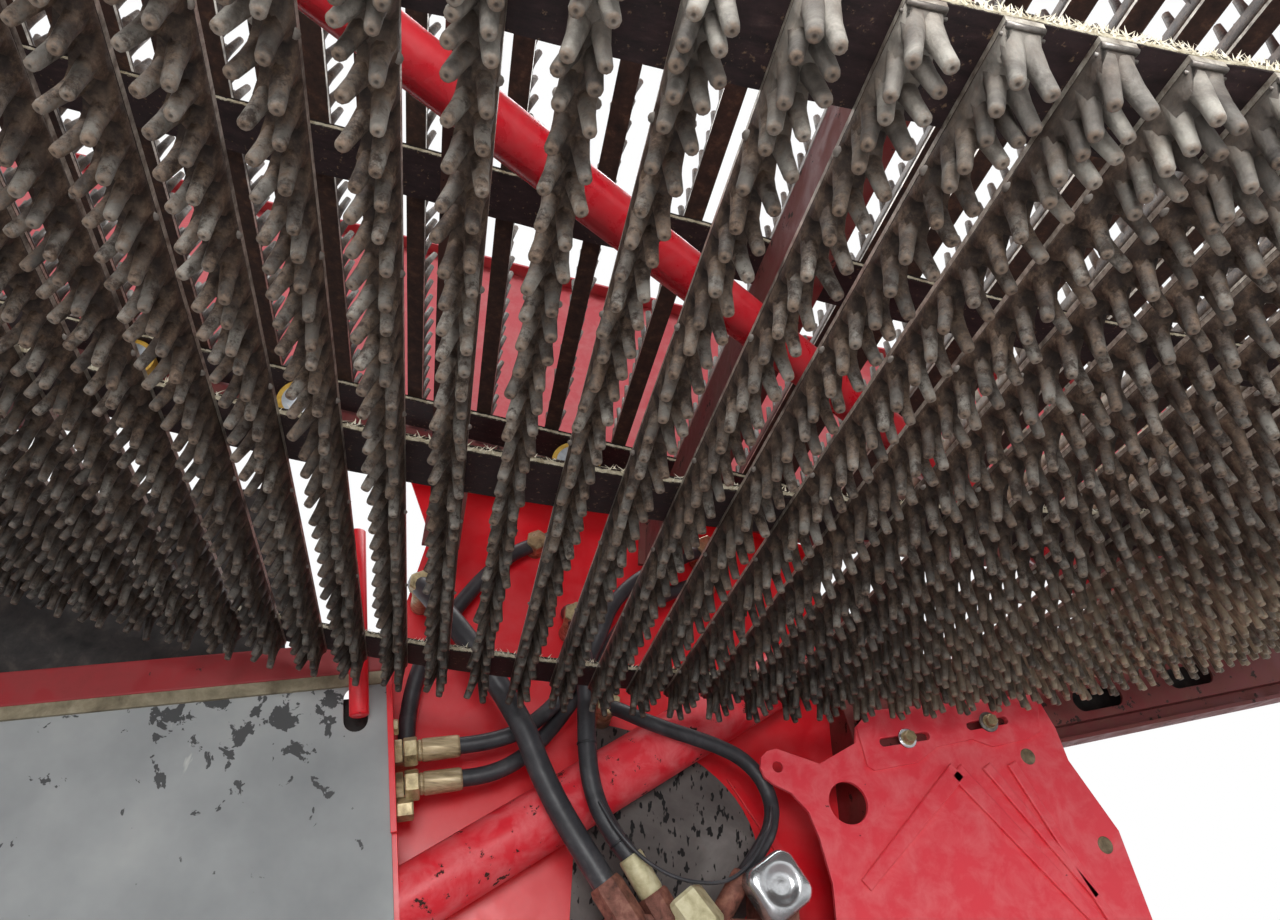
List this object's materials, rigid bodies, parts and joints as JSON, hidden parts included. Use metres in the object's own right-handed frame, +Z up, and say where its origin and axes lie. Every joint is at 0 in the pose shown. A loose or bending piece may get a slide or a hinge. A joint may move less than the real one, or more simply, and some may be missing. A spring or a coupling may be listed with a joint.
{
  "type": "rubber finger web unit",
  "caption": "Tilting cleaning unit of a potato harvester: an endless web of rubber fingers on belts, slack below, with frame, rollers, motor and carrier.",
  "frame": {"origin": "middle of the mounting flange's bolt holes, on the flange's outer face", "axes": "+X along the web away from the flange, +Y across the web towards the hydraulic motor, +Z up"},
  "size_m": [3.56, 1.555, 1.4855],
  "materials": {
    "red_paint": "bright red paint, faded, with rust at edges",
    "dark_paint": "dark red paint under dust",
    "rust_steel": "dark brown, rusted and dusty",
    "galvanised": "dull grey sheet with dark splashes",
    "belt_rubber": "black rubber belt with frayed pale edges",
    "finger_rubber": "grey rubber under brown dust",
    "wheel_rubber": "black rubber",
    "steel": "worn steel",
    "roller_yellow": "yellow polyurethane",
    "rod_chrome": "polished rod"
  },
  "bodies": {
    "carrier": {"mount_flange": "red_paint", "cross_tube": "red_paint", "console_near": "red_paint", "console_far": "red_paint", "leg_near": "red_paint", "leg_far": "red_paint", "side_sill": "red_paint", "sheet_cover": "galvanised", "bulkhead": "red_paint", "side_panel": "red_paint", "strut_tube": "red_paint", "ribbed_bracket": "red_paint", "slotted_beam": "dark_paint"},
    "web_frame": {"belt_near": "belt_rubber", "belt_middle": "belt_rubber", "belt_far": "belt_rubber", "strips_carrying": "finger_rubber", "strips_slack": "finger_rubber", "strips_idler_end": "finger_rubber", "strips_return": "finger_rubber", "strips_drive_end": "finger_rubber", "drive_shaft": "steel", "drive_wheels": "wheel_rubber", "idler_shaft": "steel", "idler_wheels": "wheel_rubber", "side_plate_near": "red_paint", "side_plate_far": "red_paint", "rail_near": "dark_paint", "rail_far": "dark_paint", "hangers_near": "dark_paint", "hangers_far": "dark_paint", "idler_slide_near": "dark_paint", "idler_slide_far": "dark_paint", "cross_beams": "dark_paint", "dark_beam": "rust_steel", "brown_beam": "dark_paint", "brace_tube": "red_paint", "roller_tyres": "roller_yellow", "roller_cores": "steel", "roller_axles": "steel", "side_board_near": "red_paint", "side_board_far": "red_paint", "hydraulic_motor": "steel", "cylinder_lug": "dark_paint"},
    "tilt_barrel": {"cylinder_barrel": "red_paint"},
    "tilt_rod": {"cylinder_rod": "rod_chrome"}
  },
  "joints": [
    {"name": "web_tilt", "type": "hinge", "parent": "carrier", "child": "web_frame", "pos_m": [0.32, 0, 0], "axis": [0, -1, 0], "range_deg": [-6, 10]},
    {"name": "barrel_swing", "type": "hinge", "parent": "carrier", "child": "tilt_barrel", "pos_m": [0.165, -0.68, -0.56], "axis": [0, -1, 0], "range_deg": [-3.2, 5.19]},
    {"name": "rod_slide", "type": "slide", "parent": "tilt_barrel", "child": "tilt_rod", "axis": [0.7954, 0, 0.606], "range_m": [-0.0378, 0.0624]}
  ],
  "couplings": [
    {"joint": "barrel_swing", "follows": "web_tilt", "ratio": 0.49928},
    {"joint": "rod_slide", "follows": "web_tilt", "m_per_rad": 0.35151}
  ]
}
